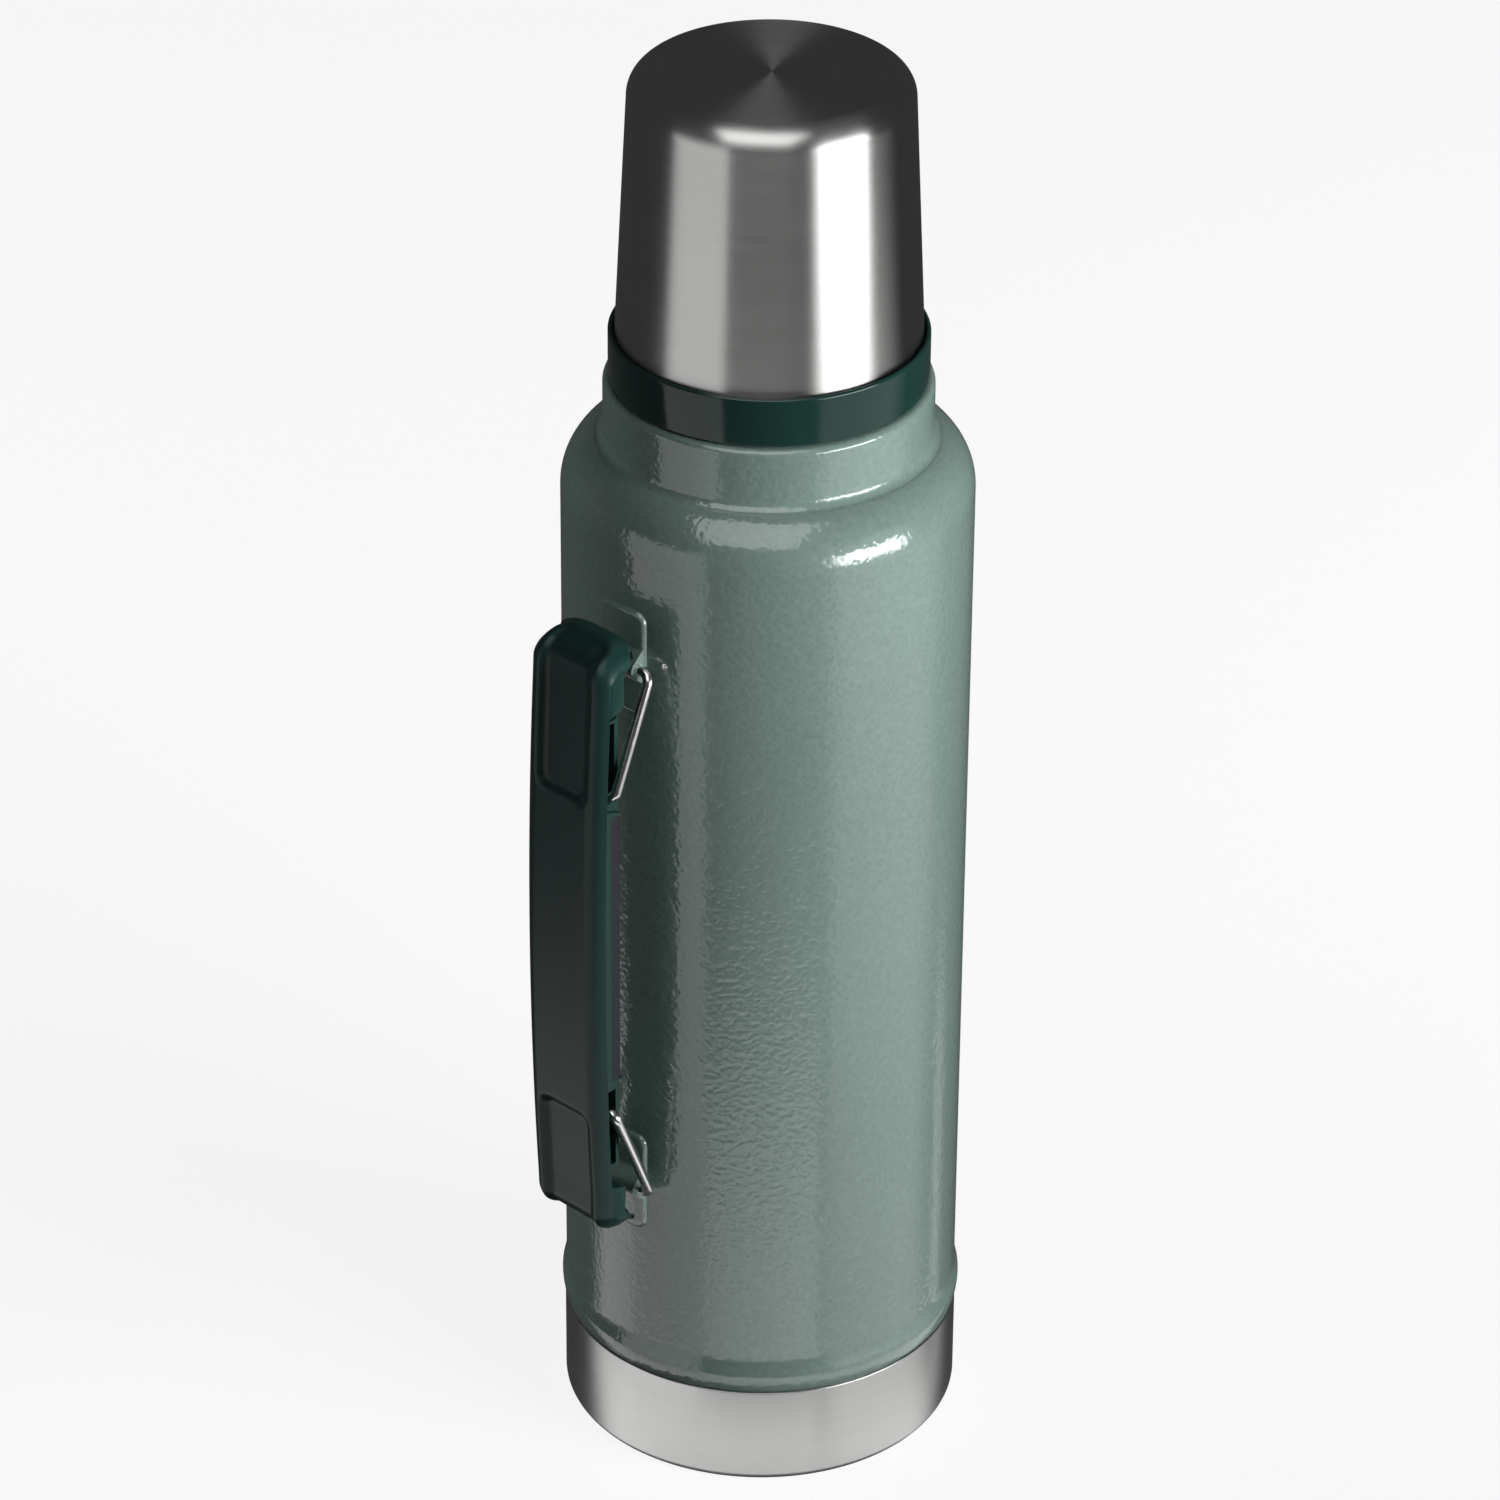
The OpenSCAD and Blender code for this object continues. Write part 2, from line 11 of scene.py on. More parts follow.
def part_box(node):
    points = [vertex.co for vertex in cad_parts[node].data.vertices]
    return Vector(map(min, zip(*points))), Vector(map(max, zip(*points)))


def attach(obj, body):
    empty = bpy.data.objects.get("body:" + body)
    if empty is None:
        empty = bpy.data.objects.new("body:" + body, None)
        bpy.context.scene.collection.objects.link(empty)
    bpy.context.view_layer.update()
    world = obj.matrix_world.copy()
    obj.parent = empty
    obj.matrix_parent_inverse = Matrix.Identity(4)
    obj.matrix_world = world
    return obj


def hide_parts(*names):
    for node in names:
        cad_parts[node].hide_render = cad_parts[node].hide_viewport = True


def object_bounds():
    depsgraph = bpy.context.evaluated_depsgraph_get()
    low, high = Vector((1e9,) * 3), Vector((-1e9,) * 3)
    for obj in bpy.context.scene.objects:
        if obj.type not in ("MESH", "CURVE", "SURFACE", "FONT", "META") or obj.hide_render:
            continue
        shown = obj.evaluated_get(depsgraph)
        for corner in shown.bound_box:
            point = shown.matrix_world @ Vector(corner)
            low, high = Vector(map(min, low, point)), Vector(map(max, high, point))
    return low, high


bl_info = {
    "name": "Vacuum Flask",
    "version": (1, 0, 0),
    "blender": (4, 5, 0),
    "location": "3D View > Sidebar > Flask",
    "description": "Finishes a steel vacuum flask with its cup, stopper and carrying handle",
    "category": "Object",
}

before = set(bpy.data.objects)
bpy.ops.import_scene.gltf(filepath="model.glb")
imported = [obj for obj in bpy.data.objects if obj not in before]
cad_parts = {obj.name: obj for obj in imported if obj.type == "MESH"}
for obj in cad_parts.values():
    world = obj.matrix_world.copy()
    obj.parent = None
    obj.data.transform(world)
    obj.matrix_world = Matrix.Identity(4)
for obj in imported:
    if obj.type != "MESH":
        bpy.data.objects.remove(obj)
CAD_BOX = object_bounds()
MM = 0.001
SHARE = "share"
SOFT_ANGLE = math.radians(40)


# ---------- shader expressions ----------


class Signal:
    """A shader socket that Python expressions can work on."""

    def __init__(self, finish, socket):
        self.finish = finish
        self.socket = socket

    def math(self, operation, *values):
        sockets = dict(enumerate(values))
        return self.finish.node("ShaderNodeMath", {"operation": operation}, sockets)

    def __add__(self, other):
        return self.math("ADD", self, other)

    def __radd__(self, other):
        return self.math("ADD", other, self)

    def __sub__(self, other):
        return self.math("SUBTRACT", self, other)

    def __rsub__(self, other):
        return self.math("SUBTRACT", other, self)

    def __mul__(self, other):
        return self.math("MULTIPLY", self, other)

    def __rmul__(self, other):
        return self.math("MULTIPLY", other, self)

    def __gt__(self, other):
        return self.math("GREATER_THAN", self, other)
    def power(self, exponent):
        return self.math("POWER", self, exponent)

    def arctan2(self, other):
        return self.math("ARCTAN2", self, other)

    def cosine(self):
        return self.math("COSINE", self)

    def sine(self):
        return self.math("SINE", self)


class Finish:
    """A node material, and the one method that adds a node to it."""

    def __init__(self, name):
        self.material = bpy.data.materials.new(name)
        self.material.use_nodes = True
        self.tree = self.material.node_tree
        self.shader = self.tree.nodes["Principled BSDF"]
        self.place = self.node("ShaderNodeTexCoord", output="Object")

    def node(self, kind, settings=None, sockets=None, output=0):
        """Adds a node, sets it up, then fills its sockets with values or links."""
        node = self.tree.nodes.new(kind)
        for name, value in (settings or {}).items():
            setattr(node, name, value)
        for key, value in (sockets or {}).items():
            self.fill(node.inputs[key], value)
        return Signal(self, node.outputs[output])

    def fill(self, socket, value):
        if isinstance(value, Signal):
            self.tree.links.new(value.socket, socket)
        else:
            socket.default_value = value

    def set(self, **values):
        """Fills the shader's own sockets: Base_Color stands for Base Color."""
        for name, value in values.items():
            self.fill(self.shader.inputs[name.replace("_", " ")], value)

    def mix(self, factor, low, high):
        """Blends two colours."""
        settings = {"data_type": "RGBA", "clamp_factor": True}
        return self.node("ShaderNodeMix", settings, {0: factor, 6: low, 7: high}, output=2)

    def axes(self):
        """The three coordinates of the point, in metres."""
        split = self.node("ShaderNodeSeparateXYZ", sockets={0: self.place}).socket.node
        return [Signal(self, socket) for socket in split.outputs]

    def point(self, x, y, z):
        return self.node("ShaderNodeCombineXYZ", None, {0: x, 1: y, 2: z})

    def shift(self, vector, offset, amount):
        """Moves a texture's place by a colour or vector times an amount."""
        scaled = self.node("ShaderNodeVectorMath", {"operation": "SCALE"}, {0: offset, 3: amount})
        return self.node("ShaderNodeVectorMath", {"operation": "ADD"}, {0: vector, 1: scaled})

    def noise(self, scale, detail=2.0, roughness=0.5, place=None, output="Fac"):
        sockets = {
            "Vector": place or self.place,
            "Scale": scale,
            "Detail": detail,
            "Roughness": roughness,
        }
        return self.node("ShaderNodeTexNoise", None, sockets, output)

    def cells(self, scale, place=None, feature="F1"):
        sockets = {"Vector": place or self.place, "Scale": scale}
        return self.node("ShaderNodeTexVoronoi", {"feature": feature}, sockets, "Distance")

    def relief(self, height, depth):
        """Turns a height from 0 to 1 into a bumped normal, depth metres high."""
        return self.node("ShaderNodeBump", None, {"Height": height, "Distance": depth}, "Normal")


def solid(colour):
    """A colour socket's four numbers from a property's three."""
    return (*colour, 1.0)


def scaled(colour, factor):
    return tuple(min(1.0, channel * factor) for channel in colour) + (1.0,)


# ---------- finishes: texture scales are cells or waves in a metre ----------


def hammered_paint(settings):
    """Hammertone enamel: leafing flakes in shallow cells under a wet gloss, bare steel on the thread."""
    finish = Finish("hammer_paint")
    wander, flakes, dimples, blotches = 300.0, 900.0, 640.0, 14.0
    slip, thread_start = 2.2 * MM, neck_step() + 0.1 * MM
    wobble = finish.noise(wander, output="Color")
    warped = finish.shift(finish.place, wobble, slip)
    cell = finish.cells(settings.cell_scale, warped, "SMOOTH_F1")
    fleck = finish.noise(flakes, 3.0)
    drift = finish.noise(blotches)
    tone = cell * 0.5 + fleck * 0.55 + drift * 0.35 - 0.2
    colour = finish.mix(tone, solid(settings.paint_deep), solid(settings.paint_light))
    height = cell * 0.6 + finish.noise(dimples) * 0.5 + fleck * 0.15
    bare = finish.axes()[2] > thread_start
    finish.set(
        Base_Color=finish.mix(bare, colour, solid(settings.steel_colour)),
        Metallic=bare,
        Roughness=settings.paint_roughness + fleck * 0.03 + bare * 0.12,
        Normal=finish.relief(height, settings.cell_depth),
    )
    finish.set(IOR=1.75, Coat_Weight=0.3, Coat_Roughness=0.4)
    return finish.material


def brushed(name, colour, roughness, strength=0.9):
    """Steel brushed round the axis, so that its highlights stand across the lines."""
    finish = Finish(name)
    line_scale, arc_scale, relief_depth = 2600.0, 5.0, 0.012 * MM
    x, y, z = finish.axes()
    angle = y.arctan2(x)
    radius = (x * x + y * y).power(0.5)
    across = (radius + z) * line_scale
    lines = finish.point(across, angle.cosine() * arc_scale, angle.sine() * arc_scale)
    fine = finish.noise(1.0, 4.0, 0.75, lines)
    broad = finish.noise(0.16, place=lines)
    smudge = finish.noise(38.0, 3.0)
    grain = fine * 0.65 + broad * 0.35
    finish.set(
        Base_Color=finish.mix(grain, scaled(colour, 0.84), scaled(colour, 1.1)),
        Roughness=grain * 0.12 + smudge * 0.05 + (roughness - 0.08),
        Normal=finish.relief(fine, relief_depth),
    )
    finish.set(Metallic=1.0, Anisotropic=strength, Anisotropic_Rotation=0.25)
    return finish.material


def plain_steel(settings):
    """Electropolished steel inside the flask, with a faint drawn grain."""
    finish = Finish("plain_steel")
    across, along = 900.0, 60.0
    smudge = finish.noise(60.0, 4.0)
    x, y, z = finish.axes()
    drawn = finish.noise(1.0, 3.0, 0.6, finish.point(x * across, y * across, z * along))
    bright = settings.steel_colour
    finish.set(
        Base_Color=finish.mix(smudge, scaled(bright, 0.86), solid(bright)),
        Roughness=smudge * 0.14 + drawn * 0.08 + 0.16,
        Normal=finish.relief(drawn, 0.01 * MM),
    )
    finish.set(Metallic=1.0)
    return finish.material


def bail_wire(settings):
    """Polished wire with a few draw marks."""
    finish = Finish("bail_wire")
    marks = finish.noise(700.0, 3.0, 0.7)
    bright = settings.steel_colour
    finish.set(
        Base_Color=finish.mix(marks, scaled(bright, 1.1), scaled(bright, 1.4)),
        Roughness=marks * 0.1 + 0.17,
        Normal=finish.relief(marks, 0.0008 * MM),
    )
    finish.set(Metallic=1.0)
    return finish.material


def moulded(name, colour, roughness, grain, depth, gloss=0.5):
    """Moulded plastic or rubber: a slight flow in its colour and an even spark-eroded grain."""
    finish = Finish(name)
    flow = finish.noise(24.0, 3.0)
    texture = finish.noise(grain, 2.0, 0.6)
    streaks = flow * 0.7 + texture * 0.3
    finish.set(
        Base_Color=finish.mix(streaks, scaled(colour, 0.86), scaled(colour, 1.14)),
        Roughness=texture * 0.1 + (roughness - 0.05),
        Normal=finish.relief(texture, depth),
    )
    finish.set(Specular_IOR_Level=gloss)
    return finish.material


def silicone():
    """Milky silicone with a soft glow under its skin."""
    finish = Finish("silicone")
    cloud = finish.noise(90.0)
    finish.set(
        Base_Color=finish.mix(cloud, (0.74, 0.74, 0.7, 1.0), (0.86, 0.86, 0.82, 1.0)),
        Roughness=cloud * 0.1 + 0.4,
        Normal=finish.relief(finish.noise(1200.0), 0.01 * MM),
    )
    finish.set(Subsurface_Weight=0.3, Subsurface_Scale=1.5 * MM)
    return finish.material


def foil():
    """Bright crinkled foil round the inner flask."""
    finish = Finish("foil")
    crease = finish.cells(70.0, feature="DISTANCE_TO_EDGE")
    fine = finish.noise(240.0, 4.0)
    finish.set(
        Base_Color=finish.mix(fine, (0.72, 0.7, 0.66, 1.0), (0.9, 0.89, 0.86, 1.0)),
        Roughness=fine * 0.2 + 0.15,
        Normal=finish.relief(crease * 3.0 + fine * 0.3, 0.3 * MM),
    )
    finish.set(Metallic=1.0)
    return finish.material


def granular(name, dark, light, grain, metallic, roughness):
    """A grainy grey solid, such as a sintered pill, a solder drop or foam."""
    finish = Finish(name)
    bead = finish.cells(grain)
    finish.set(
        Base_Color=finish.mix(bead, solid((dark,) * 3), solid((light,) * 3)),
        Roughness=bead * 0.2 + roughness,
        Normal=finish.relief(bead, 0.08 * MM),
    )
    finish.set(Metallic=metallic)
    return finish.material


# ---------- shapes ----------


def neck_step():
    """Height of the flask's painted step, just under the cup's collar."""
    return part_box("cup_collar")[0].z - 0.4 * MM


def arc(centre, radius, first, last, steps=10):
    """Points [radius, height] along an arc between two angles in degrees."""
    points = []
    for i in range(steps + 1):
        angle = math.radians(first + (last - first) * i / steps)
        points.append((centre[0] + radius * math.cos(angle), centre[1] + radius * math.sin(angle)))
    return points


def bend(before, corner, after, radius, steps=8):
    """Rounds the corner between two straight runs of an outline with a tangent arc."""
    corner = Vector(corner)
    one, two = (Vector(p) - corner for p in (before, after))
    half = one.angle(two) / 2
    reach = radius / math.tan(half)
    centre = corner + (one.normalized() + two.normalized()).normalized() * radius / math.sin(half)
    ends = [corner + side.normalized() * reach - centre for side in (one, two)]
    sweep = ends[0].angle_signed(ends[1])
    points = []
    for i in range(steps + 1):
        points.append(tuple(centre + Matrix.Rotation(-sweep * i / steps, 2) @ ends[0]))
    return points


def rounded(corners, steps=6):
    """Outline from corners (radius, height) or (radius, height, rounding)."""
    points = []
    for i, corner in enumerate(corners):
        if len(corner) == 3 and 0 < i < len(corners) - 1:
            points += bend(corners[i - 1][:2], corner[:2], corners[i + 1][:2], corner[2], steps)
        else:
            points.append(corner[:2])
    return points


def spin(mesh, outline, segments):
    """Adds a surface of revolution from an outline in millimetres, closed where it leaves the axis."""
    rings = []
    for radius, height in outline:
        if radius < 1e-6:
            rings.append([mesh.verts.new((0, 0, height * MM))])
            continue
        ring = []
        for i in range(segments):
            angle = 2 * math.pi * i / segments
            ring.append(mesh.verts.new((
                radius * math.cos(angle) * MM, radius * math.sin(angle) * MM, height * MM)))
        rings.append(ring)
    pairs = list(zip(rings, rings[1:]))
    if len(rings[0]) > 1:
        pairs.append((rings[-1], rings[0]))
    for low, high in pairs:
        if len(low) == len(high) == 1:
            continue
        for i in range(segments):
            j = (i + 1) % segments
            corners = [low[i % len(low)], low[j % len(low)], high[j % len(high)], high[i % len(high)]]
            mesh.faces.new(list(dict.fromkeys(corners)))


def helix(mesh, root, crest, start, foot, land):
    """Adds a thread's ridge, from root radius to crest radius, that fades out at both ends.

    The ridge is foot wide at its root and land wide at its crest; start is its first height.
    """
    lead, turns, per_turn = 4.0, 1.5, 96
    count = round(turns * per_turn)
    fade = per_turn / 10
    rings = []
    for i in range(count + 1):
        angle = 2 * math.pi * i / per_turn
        share = min(1.0, (i + 0.5) / fade, (count - i + 0.5) / fade)
        top = root + (crest - root) * math.sin(share * math.pi / 2)
        height = start + lead * i / per_turn
        ring = []
        for radius, offset in ((root, -foot / 2), (top, -land / 2), (top, land / 2), (root, foot / 2)):
            ring.append(mesh.verts.new((
                radius * math.cos(angle) * MM, radius * math.sin(angle) * MM, (height + offset) * MM)))
        rings.append(ring)
    skin(mesh, rings)


def skin(mesh, rings, closed=True, caps=True):
    """Joins rings of equally many points with faces, and caps the two ends."""
    for low, high in zip(rings, rings[1:]):
        count = len(low)
        for i in range(count if closed else count - 1):
            j = (i + 1) % count
            mesh.faces.new((low[i], low[j], high[j], high[i]))
    if caps:
        mesh.faces.new(rings[0])
        mesh.faces.new(rings[-1])


def piece(name, mesh, material, body, slot, *nodes, smooth=38.0):
    """Makes a piece from a mesh, shades it smooth, and lets it ride in place of CAD nodes."""
    bmesh.ops.recalc_face_normals(mesh, faces=mesh.faces)
    data = bpy.data.meshes.new(name)
    mesh.to_mesh(data)
    mesh.free()
    data.materials.append(material)
    data.shade_smooth()
    data.set_sharp_from_angle(angle=math.radians(smooth))
    made = bpy.data.objects.new(name, data)
    bpy.context.scene.collection.objects.link(made)
    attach(made, body)
    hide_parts(*nodes)
    return made


def top_of(node):
    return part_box(node)[1] / MM


def foot_of(node):
    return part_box(node)[0] / MM


# ---------- outlines, in millimetres ----------

UPSTAND = 3.0
CUP_WALL = 0.7
LINER_GAP = 2.2
LINER_WALL = 1.5


def shell_outline(sizes):
    """Outline of the painted shell: skirt, bead, side, shoulder, neck step, threaded neck."""
    wall, skirt_r, skirt_foot = 0.8, 48.9, 9.0
    seam, lap, bead_rise = 0.4, 0.35, 5.0
    crest, run = 4.0, 12.0
    neck_r, hollow, shoulder_drop = 39.3, 3.0, 28.7
    step_round, root, root_round, rim_round, bore = 1.6, 32.1, 0.8, 1.0, 26.6

    step, rim = neck_step() / MM, top_of("outer_shell").z
    base_r, base_top = top_of("base_cup").y, top_of("base_cup").z
    bead_r, bead_z = top_of("outer_shell").y, base_top + bead_rise
    body_r, shoulder_r = sizes.body_radius / MM, sizes.shoulder_round / MM
    shoulder_z = step - shoulder_drop
    meet = math.degrees(math.acos((neck_r + hollow - body_r + shoulder_r) / (shoulder_r + hollow)))
    hollow_z = shoulder_z + (shoulder_r + hollow) * math.sin(math.radians(meet))
    run_out = math.sqrt((crest + run) ** 2 - (body_r + run - bead_r + crest) ** 2)
    lean = math.degrees(math.asin(run_out / (crest + run)))
    drop = bead_rise - seam
    swell = (drop ** 2 + (bead_r - base_r) ** 2) / (2 * (bead_r - base_r))
    foot = -math.degrees(math.asin(drop / swell))
    inner_step = step - wall
    return (
        [(skirt_r - wall, skirt_foot), (skirt_r, skirt_foot)]
        + [(skirt_r, base_top + seam + 0.2), (base_r - lap, base_top + seam)]
        + arc((bead_r - swell, bead_z), swell, foot + 2, 0, 8)
        + arc((bead_r - crest, bead_z), crest, 4, lean, 6)
        + arc((body_r + run, bead_z + run_out), run, 180 + lean, 180, 10)
        + arc((body_r - shoulder_r, shoulder_z), shoulder_r, 0, meet, 24)
        + arc((neck_r + hollow, hollow_z), hollow, 180 + meet, 180, 10)
        + arc((neck_r - step_round, step - step_round), step_round, 0, 90, 8)
        + arc((root + root_round, step + root_round), root_round, 270, 180, 5)
        + arc((root - rim_round, rim - rim_round), rim_round, 0, 90, 6)
        + [(bore, rim), (bore, rim - wall), (root - wall, rim - wall), (root - wall, inner_step)]
        + [(neck_r - wall - 1, inner_step), (neck_r - wall, inner_step - 1)]
        + arc((neck_r + hollow, hollow_z), hollow + wall, 180, 180 + meet, 6)
        + arc((body_r - shoulder_r, shoulder_z), shoulder_r - wall, meet, 0, 12)
        + [(body_r - wall, bead_z + 6), (skirt_r - wall, base_top + 4)]
    )


def base_outline():
    """Outline of the pressed steel base, with the turned ring in its underside."""
    radius, _, height = top_of("base_cup")
    wall, ring_in, ring_out, ring_depth, edge = 0.75, 30.0, 37.0, 0.35, 0.2
    return rounded([
        (0, 0), (ring_in, 0, edge), (ring_in + 0.6, ring_depth, edge),
        (ring_out - 0.6, ring_depth, edge), (ring_out, 0, edge),
        (radius, 0, 2.2), (radius, height, 0.3), (radius - wall, height, edge),
        (radius - wall, wall, 1.45), (0, wall),
    ])


def cup_seam():
    """Height at which the steel cup comes out of its collar."""
    return top_of("cup_collar").z - UPSTAND


def cup_face(height):
    """Outer radius of the tapered steel cup at a height."""
    seam_r, top_r = 36.4, 33.3
    share = (height - cup_seam()) / (top_of("cup_shell").z - cup_seam())
    return seam_r + (top_r - seam_r) * share


def cup_wall(inset, foot):
    """One face of the cup, set in by a depth, from its foot to the middle of its top."""
    top = top_of("cup_shell").z - inset
    fillet = 6 - inset * 0.6
    return rounded([
        (cup_face(foot) - inset, foot), (cup_face(top) - inset, top, fillet), (0, top)], 16)


def collar_outline():
    """Outline of the cup's collar: bore, rounded lip, slot for the steel cup, upstand inside it."""
    bore, edge, gap = 34.5, 0.5, 0.1
    foot, radius, top = foot_of("cup_collar").z, top_of("cup_collar").y, top_of("cup_collar").z
    seam, seat = cup_seam(), foot_of("cup_shell").z
    slot_in, slot_out = cup_face(seat) - CUP_WALL - gap, cup_face(seat) + gap
    lip = (radius - slot_out) / 2
    inner = cup_face(seam) - LINER_GAP
    shelf = inner - LINER_WALL
    return (
        rounded([(bore, foot + 3), (bore, foot, edge), (radius, foot, edge), (radius, seam - lip)])
        + arc((radius - lip, seam - lip), lip, 5, 175, 14)
        + [(slot_out, seat - gap), (slot_in, seat - gap), (cup_face(top) - CUP_WALL - gap, top)]
        + [(inner, top), (inner, seam), (shelf, seam), (shelf, seam - 1), (bore, seam - 2.5)]
    )


# ---------- handle, bails and brackets, in millimetres ----------

HANDLE_ROWS = 84
KNUCKLE_REACH = 51.5


def crown(sizes, z):
    """Reach of the handle's face from the axis, at a height from its middle."""
    bow_height = 75
    return -foot_of("handle_shell").x - sizes.crown_bow / MM * (z / bow_height) ** 2


def side_path(sizes):
    """Outer line of the handle's upper half, from its middle over the end to the hook's tip."""
    half = (top_of("handle_shell").z - foot_of("handle_shell").z) / 2
    radius, straight, tip_round, tip_fall = 8.0, 70.0, 2.5, 0.05
    centre = (crown(sizes, straight) - radius, half - radius)
    tip = (57.9, half - 2.7)
    path = []
    for i in range(HANDLE_ROWS + 1):
        z = straight * i / HANDLE_ROWS
        path.append((crown(sizes, z), z))
    path += arc(centre, radius, 2, 90, 18)
    path += [(centre[0] - (centre[0] - tip[0]) * i / 4, half - tip_fall * i) for i in range(1, 4)]
    return path + arc(tip, tip_round, 90, 230, 16)


def inner_path(sizes, z, share):
    """Inner line of the moulding: z is the height along the face, share the way over the end."""
    face, block, shelf = 3.1, 62.0, 66.1
    shelf_z, block_z, slant, rise = 66.3, 68.0, 1.2, 0.4
    hook = [(block, 70.3), (block, 74.6), (61.4, 76.1), (59.9, 77.0), (58.2, 77.5)]
    if share <= 0:
        if z < shelf_z:
            return (crown(sizes, z) - face, z)
        if z < block_z:
            part = (z - shelf_z) / (block_z - shelf_z)
            return (shelf - (shelf - block) * part, shelf_z + slant * part)
        return (block, shelf_z + slant + (z - block_z) * rise)
    reach = share * (len(hook) - 1)
    i = min(int(reach), len(hook) - 2)
    low, high = Vector(hook[i]), Vector(hook[i + 1])
    return tuple(low.lerp(high, reach - i))


def smooth_step(value):
    value = max(0.0, min(1.0, value))
    return value * value * (3 - 2 * value)


def pocket(sizes, along, across, start, end):
    """Depth of a pocket with soft walls in the handle's face, from its rounded outline."""
    half_width, corner = sizes.pocket_width / 2 / MM, 4.6
    middle, half_length = (start + end) / 2, (end - start) / 2
    dx = abs(along - middle) - half_length + corner
    dy = abs(across) - half_width + corner
    outside = math.hypot(max(dx, 0), max(dy, 0)) + min(max(dx, dy), 0) - corner
    return sizes.pocket_depth / MM * smooth_step(-outside / (sizes.pocket_wall / MM))


def handle_section(sizes, outer, inward, inner, along, span):
    """One cross-section of the moulding as (reach, across, height), with its pocket over a span."""
    bend_start, bend_run = 72.0, 14.0
    tip_start, tip_run, tip_narrowing = 86.0, 11.0, 6.0
    lip_start, lip_run = 88.0, 5.0
    edge, bead, steepest = 5.0, 0.35, math.radians(70)
    flat, turn = 28, 12

    nose = max(0.0, min(0.93, (along - tip_start) / tip_run))
    width = top_of("handle_shell").y - tip_narrowing * (1 - math.sqrt(1 - nose * nose))
    over = smooth_step((along - bend_start) / bend_run)
    lip = smooth_step((along - lip_start) / lip_run)
    round_u = edge + 4.0 * over
    round_d = edge + 3.5 * over - edge * lip
    depth = (Vector(inner) - Vector(outer)).length
    limit = min(steepest, math.acos(max(-1, 1 - (depth - bead) / round_d)))
    half = []
    for i in range(flat // 2, 0, -1):
        half.append(((width - round_u) * (1 - i * 2 / flat), 0.0))
    for i in range(turn + 1):
        angle = limit * i / turn
        half.append((width - round_u + round_u * math.sin(angle), round_d * (1 - math.cos(angle))))
    edge_u, edge_d = half[-1]
    ring = []
    for u, drop in [(-u, d) for u, d in reversed(half[1:])] + half:
        point = Vector(outer) + inward * (drop + pocket(sizes, along, u, *span))
        ring.append((point[0], u, point[1]))
    start = Vector(outer) + inward * edge_d
    for sign in (1, -1):
        wall = []
        for out, down in ((0.1, 0.12), (0.0, 0.3)):
            point = start + inward * down
            wall.append((point[0], sign * (edge_u + out), point[1]))
        wall.append((inner[0], sign * edge_u, inner[1]))
        ring += wall[::sign]
    return ring


def handle_mesh(sizes):
    """Sweeps the moulding's section over the hooked ends, with a pocket at each end."""
    mesh = bmesh.new()
    upper_pocket, lower_pocket, pocket_end = 41.0, 44.6, 88.5
    middle = (top_of("handle_shell").z + foot_of("handle_shell").z) / 2
    path = side_path(sizes)
    over = HANDLE_ROWS + 1
    halves = []
    for sign, start in ((1, upper_pocket), (-1, lower_pocket)):
        rings = []
        along = 0.0
        for i, (v, z) in enumerate(path):
            if i:
                along += math.dist(path[i - 1], path[i])
            before, after = path[max(i - 1, 0)], path[min(i + 1, len(path) - 1)]
            if i == 0:
                before = (after[0], -after[1])
            run = Vector(after) - Vector(before)
            inward = Vector((-run[1], run[0])).normalized()
            share = max(0.0, (i - over) / (len(path) - 1 - over))
            inner = inner_path(sizes, z, share)
            section = handle_section(sizes, (v, z), inward, inner, along, (start, pocket_end))
            rings.append([Vector((-x, y, middle + sign * up)) * MM for x, y, up in section])
        halves.append(rings)
    upper, lower = halves
    rings = lower[:0:-1] + upper
    skin(mesh, [[mesh.verts.new(point) for point in ring] for ring in rings])
    return mesh


def bail_mesh(sizes, node, upward):
    """Bends round wire through the knuckle, out along two legs, and in again at both ends."""
    leg, reach, end, corner = 11.0, 31.5, 7.6, 2.6
    dish, dish_steps, sides = 0.4, 5, 24
    radius, sign = sizes.wire_diameter / 2 / MM, (1 if upward else -1)
    route = rounded([
        (-end, reach), (-leg, reach, corner), (-leg, 0, corner),
        (leg, 0, corner), (leg, reach, corner), (end, reach)], 12)
    tilt = math.atan2(12.3, 29.0)
    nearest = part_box(node)[0 if upward else 1].z / MM
    knuckle = Vector((-KNUCKLE_REACH, 0, nearest + sign * radius))
    away = Vector((-math.sin(tilt), 0, math.cos(tilt) * sign))
    side = Vector((0, 1, 0))
    normal = side.cross(away)
    places = [knuckle + side * y + away * b for y, b in route]
    stations = []
    for i, place in enumerate(places):
        run = (places[min(i + 1, len(places) - 1)] - places[max(i - 1, 0)]).normalized()
        if 0 < i < len(places) - 1:
            stations.append((place, run, radius))
            continue
        inward = run if i == 0 else -run
        dished = []
        for step in range(1, dish_steps):
            depth = dish * (1 - math.sin(math.radians(90 * step / dish_steps)))
            dished.append((place + inward * depth, run, radius - depth))
        dished.append((place + inward * dish, run, radius))
        stations += dished if i == 0 else dished[::-1]
    mesh = bmesh.new()
    rings = []
    for centre, run, size in stations:
        across = run.cross(normal).normalized()
        ring = []
        for i in range(sides):
            angle = 2 * math.pi * i / sides
            spoke = across * math.cos(angle) + normal * math.sin(angle)
            ring.append(mesh.verts.new((centre + spoke * size) * MM))
        rings.append(ring)
    skin(mesh, rings)
    return mesh


